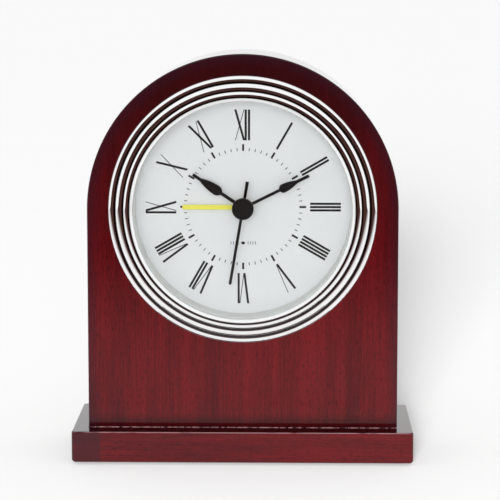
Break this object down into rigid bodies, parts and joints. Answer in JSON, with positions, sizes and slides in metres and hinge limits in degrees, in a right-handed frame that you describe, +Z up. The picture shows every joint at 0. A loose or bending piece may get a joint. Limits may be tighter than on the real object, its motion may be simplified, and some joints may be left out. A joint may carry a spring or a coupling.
{
  "type": "mantel clock",
  "caption": "Arched wooden mantel clock on a slab base, with a round chromed quartz alarm insert, setting knobs behind and a battery bay",
  "frame": {"origin": "on the table, under the middle of the base", "axes": "+Z up, -Y is the way the dial faces, +X is to the right of someone reading it"},
  "size_m": [0.1314, 0.05, 0.1575],
  "materials": {
    "rosewood": "gloss",
    "steel": "satin",
    "felt": "matte",
    "chrome": "mirror",
    "glass": "polished",
    "white_plastic": "satin",
    "silvered_dial": "satin",
    "rubber": "matte",
    "brass": "satin",
    "copper_wire": "satin",
    "board_green": "satin",
    "black_plastic": "satin",
    "black_hands": "satin",
    "yellow_hand": "satin",
    "cell_sleeve": "gloss"
  },
  "bodies": {
    "case": {"case_body": "rosewood", "base_board": "rosewood", "base_screw_1": "steel", "base_screw_2": "steel", "felt_foot_1": "felt", "felt_foot_2": "felt", "felt_foot_3": "felt", "felt_foot_4": "felt", "bezel_ring": "chrome", "crystal": "glass", "spacer_ring": "white_plastic", "dial": "silvered_dial", "insert_can": "steel", "can_gasket": "rubber", "front_plate": "brass", "middle_plate": "brass", "rear_plate": "brass", "pillar_1": "brass", "pillar_2": "brass", "pillar_3": "brass", "plate_screw_1": "steel", "plate_screw_2": "steel", "plate_screw_3": "steel", "stator": "steel", "coil_core": "steel", "coil_bobbin": "white_plastic", "coil_winding": "copper_wire", "circuit_board": "board_green", "chip": "black_plastic", "quartz_crystal": "steel", "alarm_contact_spring": "brass", "buzzer": "brass", "battery": "cell_sleeve", "contact_positive": "steel", "contact_negative": "steel", "rear_cover": "black_plastic", "rear_cover_screw_1": "steel", "rear_cover_screw_2": "steel", "rear_cover_screw_3": "steel"},
    "seconds": {"seconds_wheel": "white_plastic", "second_hand": "black_hands"},
    "centre": {"centre_wheel": "brass"},
    "third": {"third_wheel": "white_plastic"},
    "intermediate": {"intermediate_wheel": "white_plastic"},
    "rotor": {"rotor_pinion": "white_plastic", "rotor_magnet": "steel"},
    "minute": {"minute_hand": "black_hands", "cannon_pinion": "steel"},
    "hour": {"hour_wheel": "brass", "hour_hand": "black_hands"},
    "motion": {"motion_wheel": "white_plastic"},
    "time_set": {"time_set_shaft": "steel", "time_set_knob": "black_plastic"},
    "alarm": {"alarm_wheel": "brass", "alarm_hand": "yellow_hand"},
    "alarm_set": {"alarm_set_shaft": "steel", "alarm_set_knob": "black_plastic"},
    "alarm_slider": {"alarm_switch": "black_plastic"},
    "door": {"battery_door": "black_plastic"}
  },
  "joints": [
    {"name": "minute", "type": "hinge", "parent": "case", "child": "minute", "pos_m": [0, 0, 0.0978], "axis": [0, 1, 0], "continuous": true},
    {"name": "hour", "type": "hinge", "parent": "case", "child": "hour", "pos_m": [0, 0, 0.0978], "axis": [0, 1, 0], "continuous": true},
    {"name": "motion", "type": "hinge", "parent": "case", "child": "motion", "pos_m": [0.0045, 0, 0.10559], "axis": [0, 1, 0], "continuous": true},
    {"name": "time_set", "type": "hinge", "parent": "case", "child": "time_set", "pos_m": [0.01139, 0, 0.11138], "axis": [0, 1, 0], "continuous": true},
    {"name": "seconds", "type": "hinge", "parent": "case", "child": "seconds", "pos_m": [0, 0, 0.0978], "axis": [0, 1, 0], "continuous": true},
    {"name": "centre", "type": "hinge", "parent": "case", "child": "centre", "pos_m": [0, 0, 0.0978], "axis": [0, 1, 0], "continuous": true},
    {"name": "third", "type": "hinge", "parent": "case", "child": "third", "pos_m": [0.0115, 0, 0.0978], "axis": [0, 1, 0], "continuous": true},
    {"name": "intermediate", "type": "hinge", "parent": "case", "child": "intermediate", "pos_m": [-0.0045, 0, 0.10559], "axis": [0, 1, 0], "continuous": true},
    {"name": "rotor", "type": "hinge", "parent": "case", "child": "rotor", "pos_m": [-0.009, 0, 0.11339], "axis": [0, 1, 0], "continuous": true},
    {"name": "alarm", "type": "hinge", "parent": "case", "child": "alarm", "pos_m": [0, 0, 0.0978], "axis": [0, 1, 0], "continuous": true},
    {"name": "alarm_set", "type": "hinge", "parent": "case", "child": "alarm_set", "pos_m": [-0.01477, 0, 0.0952], "axis": [0, 1, 0], "continuous": true},
    {"name": "alarm_switch", "type": "slide", "parent": "case", "child": "alarm_slider", "axis": [1, 0, 0], "range_m": [0, 0.004]},
    {"name": "battery_door", "type": "slide", "parent": "case", "child": "door", "axis": [0, 1, 0], "range_m": [0, 0.02]}
  ],
  "couplings": [
    {"joint": "hour", "follows": "minute", "ratio": 0.083333},
    {"joint": "motion", "follows": "minute", "ratio": -0.33333},
    {"joint": "time_set", "follows": "minute", "ratio": 1},
    {"joint": "centre", "follows": "seconds", "ratio": 0.016667},
    {"joint": "third", "follows": "seconds", "ratio": -0.13333},
    {"joint": "intermediate", "follows": "seconds", "ratio": -5},
    {"joint": "rotor", "follows": "seconds", "ratio": 30},
    {"joint": "alarm_set", "follows": "alarm", "ratio": -2.5}
  ]
}
